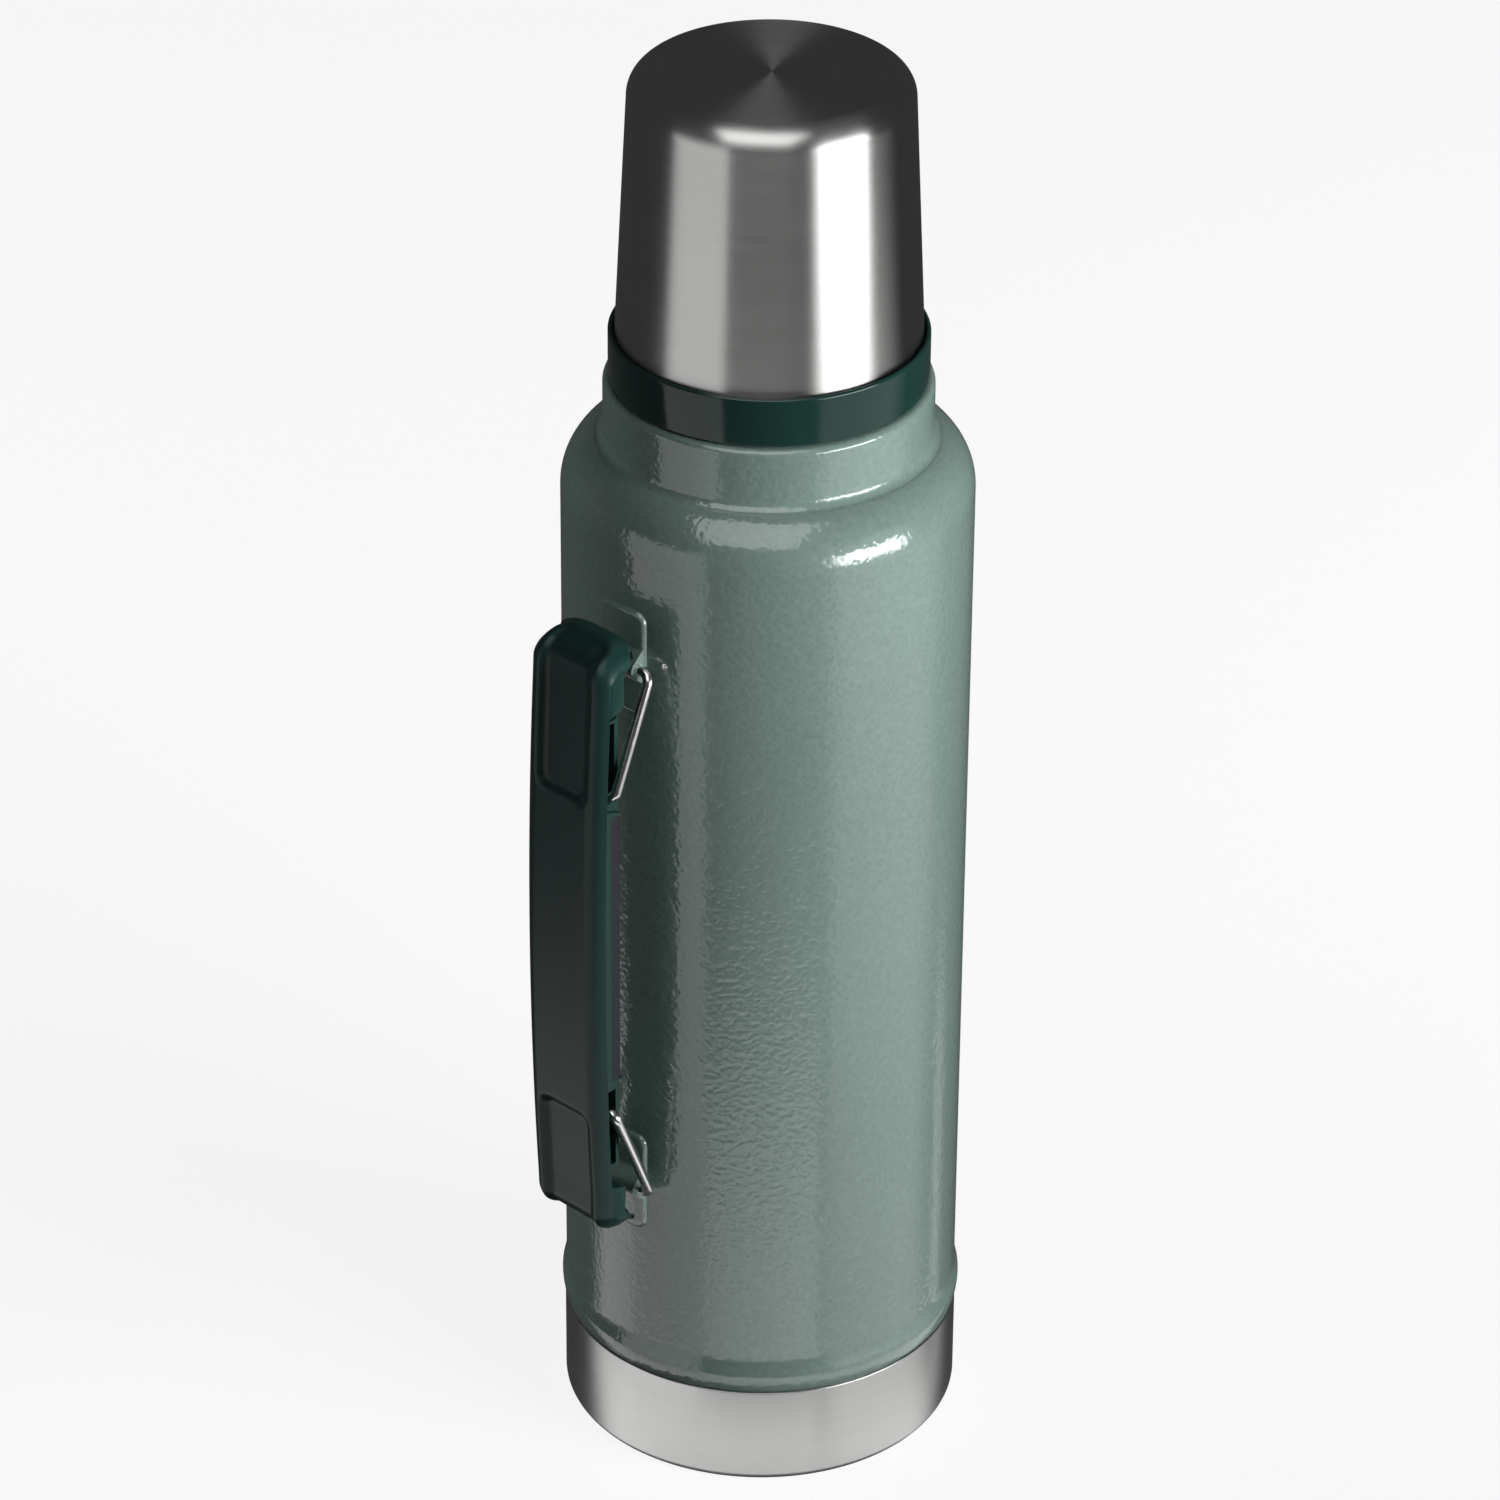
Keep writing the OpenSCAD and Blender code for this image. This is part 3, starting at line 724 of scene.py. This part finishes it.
def bracket_mesh(sizes, node):
    """Plate that follows the body, with rolled edges and a knuckle pressed up round the wire."""
    low, high = (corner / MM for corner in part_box(node))
    middle, half_h, half_w = (low.z + high.z) / 2, (high.z - low.z) / 2, high.y
    body, corner, roll, plate, sunk, least = sizes.body_radius / MM, 3.0, 0.9, 1.0, 0.15, 0.05
    knuckle_r, knuckle_w, knuckle_h, side_step = 2.25, 7.0, 1.9, 0.02
    flank, flank_slope, flank_sag, flank_run = 52.7, 0.9, 0.45, 3.2
    fine_h, fine_w, edge_h, rows, columns = 5.4, 6.3, 5.6, 36, 24

    def thickness(y, z):
        dy, dz = abs(y) - half_w + corner, abs(z) - half_h + corner
        inside = corner - math.hypot(max(dy, 0), max(dz, 0)) - min(max(dy, dz), 0)
        share = max(0.0, min(1.0, inside / roll))
        return least + (plate - least) * math.sqrt(1 - (1 - share) ** 2)

    def ridge(z):
        past = abs(z) - knuckle_h
        if past < 0:
            return KNUCKLE_REACH + math.sqrt(knuckle_r ** 2 - z ** 2)
        return flank - past * flank_slope - flank_sag * smooth_step(past / flank_run)

    def section(mesh, y, raised):
        inset = max(0.0, abs(y) - half_w + corner)
        reach = half_h - corner + math.sqrt(max(0.0, corner ** 2 - inset ** 2))
        ends = [edge_h + (reach - edge_h) * math.sin(math.radians(9 * i)) for i in range(11)]
        inner = [fine_h * (2 * i / rows - 1) for i in range(rows + 1)]
        heights = [-z for z in ends[::-1]] + inner + ends
        top = []
        for z in heights:
            v = math.sqrt((body + thickness(y, z)) ** 2 - y ** 2)
            top.append((-max(v, ridge(z)) if raised else -v, y, middle + z))
        back = math.sqrt((body - sunk) ** 2 - y ** 2)
        low_side = [(-back, y, middle + heights[-1]), (-back, y, middle + heights[0])]
        return [mesh.verts.new(Vector(point) * MM) for point in top + low_side]

    edge = [half_w - roll * (1 - math.cos(math.radians(a))) for a in range(0, 91, 15)]
    wide = [-y for y in edge] + [fine_w * (2 * i / columns - 1) for i in range(columns + 1)] + edge
    stations = [(y, abs(y) < knuckle_w) for y in sorted(set(round(y, 4) for y in wide))]
    for side in (-1, 1):
        stations += [(side * knuckle_w, False), (side * (knuckle_w - side_step), True)]
    mesh = bmesh.new()
    skin(mesh, [section(mesh, y, raised) for y, raised in sorted(stations)])
    return mesh


# ---------- settings ----------


class FlaskColours(bpy.types.PropertyGroup):
    """Colours and surface measures that a user would change."""

    paint_light: FloatVectorProperty(
        name="Paint, light",
        description="Colour of the flakes that lie flat in the hammertone",
        subtype="COLOR",
        default=(0.215, 0.306, 0.268),
        min=0.0,
        max=1.0,
    )
    paint_deep: FloatVectorProperty(
        name="Paint, deep",
        description="Colour between the flakes",
        subtype="COLOR",
        default=(0.135, 0.204, 0.177),
        min=0.0,
        max=1.0,
    )
    paint_roughness: FloatProperty(
        name="Paint roughness",
        description="Roughness of the enamel's gloss",
        default=0.08,
        min=0.02,
        max=0.6,
    )
    cell_scale: FloatProperty(
        name="Hammer cells",
        description="Cells of the hammertone in a metre",
        default=760.0,
        min=200.0,
        max=1500.0,
    )
    cell_depth: FloatProperty(
        name="Hammer depth",
        description="Depth of the hammertone's relief",
        default=0.12 * MM,
        min=0.0,
        unit="LENGTH",
        precision=6,
    )
    steel_colour: FloatVectorProperty(
        name="Steel",
        description="Colour of the bare stainless steel",
        subtype="COLOR",
        default=(0.62, 0.62, 0.61),
        min=0.0,
        max=1.0,
    )
    collar_colour: FloatVectorProperty(
        name="Collar",
        description="Colour of the glossy collar",
        subtype="COLOR",
        default=(0.009, 0.034, 0.029),
        min=0.0,
        max=1.0,
    )
    handle_colour: FloatVectorProperty(
        name="Handle",
        description="Colour of the satin handle and the stopper's grip",
        subtype="COLOR",
        default=(0.009, 0.034, 0.030),
        min=0.0,
        max=1.0,
    )
    rubber_colour: FloatVectorProperty(
        name="Rubber",
        description="Colour of the grip pad",
        subtype="COLOR",
        default=(0.016, 0.017, 0.021),
        min=0.0,
        max=1.0,
    )


class FlaskSizes(bpy.types.PropertyGroup):
    """Sizes of the pieces that are shaped by this script."""

    body_radius: FloatProperty(
        name="Body radius", description="Radius of the painted body", unit="LENGTH", default=49.4 * MM)
    shoulder_round: FloatProperty(
        name="Shoulder", description="Radius of the shoulder bend", unit="LENGTH", default=14.6 * MM)
    crown_bow: FloatProperty(
        name="Handle bow", description="How far the face bows in near its ends",
        unit="LENGTH", default=2.4 * MM)
    pocket_width: FloatProperty(
        name="Pocket width", description="Width of the pockets in the handle's face",
        unit="LENGTH", default=18.6 * MM)
    pocket_depth: FloatProperty(
        name="Pocket depth", description="Depth of the pockets", unit="LENGTH", default=1.6 * MM)
    pocket_wall: FloatProperty(
        name="Pocket wall", description="Width of a pocket's soft wall", unit="LENGTH", default=3.1 * MM)
    wire_diameter: FloatProperty(
        name="Wire", description="Diameter of the bail wire", unit="LENGTH", default=2.6 * MM)


class StageSizes(bpy.types.PropertyGroup):
    """Where the camera and the lights stand."""

    camera_side: FloatProperty(
        name="Camera side",
        description="Turn of the camera round the flask from straight in front",
        subtype="ANGLE",
        default=math.radians(-47.0),
    )
    camera_pitch: FloatProperty(
        name="Camera pitch",
        description="How far the camera looks down",
        subtype="ANGLE",
        default=math.radians(30.63),
    )
    camera_roll: FloatProperty(
        name="Camera roll",
        description="How far the camera leans",
        subtype="ANGLE",
        default=math.radians(0.557),
    )
    camera_distance: FloatProperty(
        name="Camera distance",
        description="From the flask's middle to the camera",
        unit="LENGTH",
        default=1.596,
        min=0.5,
    )
    camera_lens: FloatProperty(
        name="Lens",
        description="Focal length on a 36 mm sensor",
        subtype="DISTANCE_CAMERA",
        default=157.2,
        min=20.0,
    )
    camera_shift: FloatVectorProperty(
        name="Camera shift",
        description="Shift of the lens to the right and up, in sensor widths",
        size=2,
        default=(-0.0102, 0.0036),
    )
    card_distance: FloatProperty(
        name="Card distance",
        description="From the flask's axis to the light cards round it",
        unit="LENGTH",
        default=0.75,
        min=0.3,
    )
    lamp_distance: FloatProperty(
        name="Lamp distance",
        description="From the flask's middle to the area lamps",
        unit="LENGTH",
        default=1.2,
        min=0.5,
    )
    surround: FloatProperty(
        name="Surroundings",
        description="Brightness of the dark room that the steel reflects",
        default=0.045,
        min=0.0,
    )


# ---------- operators ----------


def coat_nodes(material, *nodes):
    """Puts one finish on CAD nodes, and leaves their meshes as they are."""
    for name in nodes:
        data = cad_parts[name].data
        data.materials.clear()
        data.materials.append(material)


def colours():
    return bpy.context.scene.flask_colours


def measures():
    return bpy.context.scene.flask_sizes


def lathe_piece(name, outline, material, body, slot, segments=256, **thread):
    """Spins an outline, adds its thread, and puts the piece in its CAD node's place."""
    mesh = bmesh.new()
    spin(mesh, outline, segments)
    if thread:
        helix(mesh, **thread)
    return piece(name + "_turned", mesh, material, body, slot, name)


def soften(name, width):
    """Rounds the edges of a CAD node with a modifier, and leaves its mesh as it is."""
    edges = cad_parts[name].modifiers.new("edges", "BEVEL")
    edges.width = width
    edges.segments = 3
    edges.limit_method = "ANGLE"
    edges.angle_limit = SOFT_ANGLE
    edges.harden_normals = True


class FLASK_OT_body(bpy.types.Operator):
    """Turn and paint the body, weld on its brackets, and finish the base and the inner flask"""

    bl_idname = "flask.body"
    bl_label = "Body and Inner Flask"

    def execute(self, context):
        settings, sizes = colours(), measures()
        paint = hammered_paint(settings)
        lathe_piece(
            "outer_shell", shell_outline(sizes), paint, "root", "hammer_paint",
            root=31.8, crest=33.4, start=neck_step() / MM + 4.5, foot=1.9, land=0.7)
        for name in ("bracket_upper", "bracket_lower"):
            plate = bracket_mesh(sizes, name)
            piece(name + "_pressed", plate, paint, "root", "hammer_paint", name, smooth=50)
        base = brushed("base_steel", settings.steel_colour, 0.3, strength=0.5)
        lathe_piece("base_cup", base_outline(), base, "root", "brushed_steel")
        coat_nodes(plain_steel(settings), "outer_bottom", "inner_flask", "inner_bottom")
        coat_nodes(foil(), "radiation_foil")
        coat_nodes(granular("getter_metal", 0.2, 0.45, 3000.0, 0.6, 0.6), "getter")
        coat_nodes(granular("solder", 0.4, 0.6, 700.0, 1.0, 0.3), "vacuum_seal")
        return {"FINISHED"}


class FLASK_OT_stopper(bpy.types.Operator):
    """Finish the stopper's plastic, foam and sealing ring"""

    bl_idname = "flask.stopper"
    bl_label = "Stopper"

    def execute(self, context):
        settings = colours()
        black = moulded("stopper_plastic", (0.016, 0.02, 0.02), 0.4, 1500.0, 0.02 * MM)
        coat_nodes(black, "stopper_body", "stopper_base")
        green = moulded("stopper_green", settings.handle_colour, 0.38, 1500.0, 0.02 * MM)
        coat_nodes(green, "stopper_cap")
        coat_nodes(granular("foam", 0.78, 0.9, 900.0, 0.0, 0.7), "stopper_foam")
        coat_nodes(silicone(), "stopper_seal", "cup_gasket")
        return {"FINISHED"}


class FLASK_OT_cup(bpy.types.Operator):
    """Turn and finish the drinking cup: brushed steel, dark liner and glossy collar"""

    bl_idname = "flask.cup"
    bl_label = "Cup"

    def execute(self, context):
        settings = colours()
        seat, seam = foot_of("cup_shell").z, cup_seam()
        steel = brushed("cup_steel", settings.steel_colour, 0.3)
        walls = cup_wall(0, seat) + cup_wall(CUP_WALL, seat)[::-1]
        lathe_piece("cup_shell", walls, steel, "cup", "brushed_steel")
        liner = moulded("liner_plastic", (0.02, 0.026, 0.025), 0.35, 1500.0, 0.015 * MM)
        walls = cup_wall(LINER_GAP, seam) + cup_wall(LINER_GAP + LINER_WALL, seam)[::-1]
        lathe_piece("cup_liner", walls, liner, "cup", "liner_plastic", segments=192)
        gloss = moulded("collar_plastic", settings.collar_colour, 0.12, 260.0, 0.0005 * MM)
        lathe_piece(
            "cup_collar", collar_outline(), gloss, "cup", "collar_plastic",
            root=34.8, crest=33.8, start=neck_step() / MM + 6.5, foot=1.7, land=0.6)
        return {"FINISHED"}


class FLASK_OT_handle(bpy.types.Operator):
    """Mould the carrying handle, finish its grip pad, and bend the two wire bails"""

    bl_idname = "flask.handle"
    bl_label = "Carrying Handle"

    def execute(self, context):
        settings, sizes = colours(), measures()
        satin = moulded("handle_plastic", settings.handle_colour, 0.3, 1700.0, 0.012 * MM, gloss=0.26)
        shell = handle_mesh(sizes)
        piece("handle_moulding", shell, satin, "handle", "handle_plastic", "handle_shell", smooth=42)
        coat_nodes(satin, "handle_insert")
        soften("handle_insert", 0.35 * MM)
        rubber = moulded("grip_rubber", settings.rubber_colour, 0.6, 2200.0, 0.05 * MM, gloss=0.2)
        coat_nodes(rubber, "handle_grip")
        soften("handle_grip", 0.6 * MM)
        wire = bail_wire(settings)
        bails = (("bail_upper", "upper_bail", False), ("bail_lower", "lower_bail", True))
        for name, body, upward in bails:
            bent = bail_mesh(sizes, name, upward)
            piece(name + "_bent", bent, wire, body, "bail_wire", name, smooth=60)
        return {"FINISHED"}


# ---------- studio ----------


def glow(name, strength, shared=False):
    """Light card's face; where shared, each point gives the share of the light it is painted with."""
    finish = Finish(name)
    colour = (1.0, 1.0, 1.0, 1.0)
    if shared:
        colour = finish.node("ShaderNodeAttribute", {"attribute_name": SHARE}, output="Fac")
    light = finish.node("ShaderNodeEmission", sockets={"Color": colour, "Strength": strength})
    finish.fill(finish.tree.nodes["Material Output"].inputs["Surface"], light)
    finish.tree.nodes.remove(finish.shader)
    return finish.material


def stage_settings():
    return bpy.context.scene.flask_stage


def heading(angle, elevation=0.0):
    """Unit vector that points from the flask at an angle to the right of the camera's own side."""
    turn = stage_settings().camera_side + angle
    flat = math.cos(elevation)
    return Vector((math.sin(turn) * flat, -math.cos(turn) * flat, math.sin(elevation)))


def card(name, spread, heights, strength, feather=(0.0, 0.0, 0.0, 0.0), back=0.0):
    """Curved upright light card round the flask, between two angles and two heights.

    Its light fades out over the feather: degrees at its left and right, metres at its foot and top.
    It stands back from the other cards by the last distance, so that no two cards touch.
    """
    away = stage_settings().card_distance + back
    across, upward = 48, 32
    mesh = bmesh.new()
    layer = mesh.verts.layers.float.new(SHARE)
    columns = []
    for i in range(across + 1):
        angle = spread[0] + (spread[1] - spread[0]) * i / across
        column = []
        for j in range(upward + 1):
            height = heights[0] + (heights[1] - heights[0]) * j / upward
            vert = mesh.verts.new(heading(math.radians(angle)) * away + Vector((0, 0, height)))
            gaps = (angle - spread[0], spread[1] - angle, height - heights[0], heights[1] - height)
            share = 1.0
            for gap, width in zip(gaps, feather):
                if width:
                    share *= smooth_step(gap / width)
            vert[layer] = share
            column.append(vert)
        columns.append(column)
    skin(mesh, columns, closed=False, caps=False)
    made = stage_piece(name, mesh, glow(name, strength, True))
    made.visible_camera = False
    made.visible_diffuse = False


def stage_piece(name, mesh, material):
    """Makes a stage object, which is not part of the flask, from a mesh."""
    data = bpy.data.meshes.new(name)
    mesh.to_mesh(data)
    mesh.free()
    data.materials.append(material)
    made = bpy.data.objects.new(name, data)
    bpy.context.scene.collection.objects.link(made)
    return made


def unlit(thing):
    """Keeps a surface for the camera's eye alone: no reflections, no bounced light, no shadow."""
    thing.visible_glossy = False
    thing.visible_diffuse = False
    thing.visible_shadow = False


def softbox(name, angle, elevation, size, strength):
    """Flat rectangular light that faces the flask's middle."""
    light = bpy.data.lights.new(name, "AREA")
    light.shape = "RECTANGLE"
    light.size, light.size_y = size
    light.energy = strength
    box = bpy.data.objects.new(name, light)
    away = heading(math.radians(angle), math.radians(elevation))
    middle = (CAD_BOX[0] + CAD_BOX[1]) / 2
    box.location = middle + away * stage_settings().lamp_distance
    box.rotation_euler = away.to_track_quat("Z", "Y").to_euler()
    box.visible_camera = False
    bpy.context.scene.collection.objects.link(box)
    return box


def make_camera(sizes):
    data = bpy.data.cameras.new("camera")
    data.lens = sizes.camera_lens
    data.sensor_width = 36.0
    data.shift_x, data.shift_y = sizes.camera_shift
    camera = bpy.data.objects.new("camera", data)
    bpy.context.scene.collection.objects.link(camera)
    back = heading(0.0, sizes.camera_pitch)
    middle = Vector((0.0, 0.0, CAD_BOX[1].z / 2))
    aim = back.to_track_quat("Z", "Y").to_matrix()
    lean = Matrix.Rotation(sizes.camera_roll, 3, "Z")
    place = middle + back * sizes.camera_distance
    camera.matrix_world = Matrix.Translation(place) @ (aim @ lean).to_4x4()
    bpy.context.scene.camera = camera


def make_floor():
    """Pale floor that neither shades the flask nor shows in its reflections."""
    grey, own_light, radius = 0.2, 0.86, 12.0
    finish = Finish("floor")
    finish.set(Base_Color=solid((grey,) * 3), Roughness=0.9, Specular_IOR_Level=0.0)
    finish.set(Emission_Color=(1.0, 1.0, 1.0, 1.0), Emission_Strength=own_light)
    mesh = bmesh.new()
    bmesh.ops.create_circle(mesh, cap_ends=True, segments=96, radius=radius)
    unlit(stage_piece("floor", mesh, finish.material))


def make_sky():
    """Pale backdrop for the camera alone, round a dark room for the reflections."""
    radius = 15.0
    mesh = bmesh.new()
    bmesh.ops.create_uvsphere(mesh, u_segments=48, v_segments=24, radius=radius)
    unlit(stage_piece("backdrop", mesh, glow("backdrop", 1.0)))
    world = bpy.data.worlds.new("room")
    world.use_nodes = True
    room = world.node_tree.nodes["Background"]
    room.inputs["Color"].default_value = solid((stage_settings().surround,) * 3)
    bpy.context.scene.world = world


class FLASK_OT_stage(bpy.types.Operator):
    """Set the pale floor, the light cards and the camera"""

    bl_idname = "flask.stage"
    bl_label = "Floor, Light and Camera"

    def execute(self, context):
        make_camera(stage_settings())
        make_floor()
        make_sky()
        card("card_left", (-78, -32), (-0.5, 0.385), 0.8)
        card("card_right", (28, 80), (0.12, 0.42), 11.0, feather=(16, 10, 0.08, 0.06))
        card("card_right_low", (33, 118), (-0.5, 0.05), 0.6, feather=(6, 28, 0, 0), back=0.01)
        card("card_low", (-116, 132), (-0.9, -0.26), 1.15, feather=(16, 16, 0, 0.16), back=0.03)
        front = softbox("softbox_front", -11, 59, (1.0, 1.0), 5.4)
        front.visible_diffuse = False
        for name, angle, strength in (("fill_right", 58, 55.0), ("fill_left", -112, 4.6)):
            fill = softbox(name, angle, 8, (0.8, 0.9), strength)
            fill.visible_glossy = False
        context.scene.view_settings.view_transform = "Standard"
        return {"FINISHED"}


class FLASK_PT_panel(bpy.types.Panel):
    """Lists the flask's pieces and their settings"""

    bl_label = "Vacuum Flask"
    bl_idname = "FLASK_PT_panel"
    bl_space_type = "VIEW_3D"
    bl_region_type = "UI"
    bl_category = "Flask"

    def draw(self, context):
        for step in STEPS:
            self.layout.operator(step.bl_idname)
        scene = context.scene
        for group in (scene.flask_colours, scene.flask_sizes, scene.flask_stage):
            box = self.layout.box()
            for name in group.bl_rna.properties.keys():
                if name not in ("rna_type", "name"):
                    box.prop(group, name)


STEPS = (FLASK_OT_body, FLASK_OT_stopper, FLASK_OT_cup, FLASK_OT_handle, FLASK_OT_stage)
CLASSES = (FlaskColours, FlaskSizes, StageSizes, *STEPS, FLASK_PT_panel)


def register():
    for part in CLASSES:
        bpy.utils.register_class(part)
    bpy.types.Scene.flask_colours = PointerProperty(type=FlaskColours)
    bpy.types.Scene.flask_sizes = PointerProperty(type=FlaskSizes)
    bpy.types.Scene.flask_stage = PointerProperty(type=StageSizes)


def unregister():
    del bpy.types.Scene.flask_stage
    del bpy.types.Scene.flask_sizes
    del bpy.types.Scene.flask_colours
    for part in reversed(CLASSES):
        bpy.utils.unregister_class(part)


def main():
    register()
    bpy.ops.flask.body()
    bpy.ops.flask.stopper()
    bpy.ops.flask.cup()
    bpy.ops.flask.handle()
    bpy.ops.flask.stage()


if __name__ == "__main__":
    main()
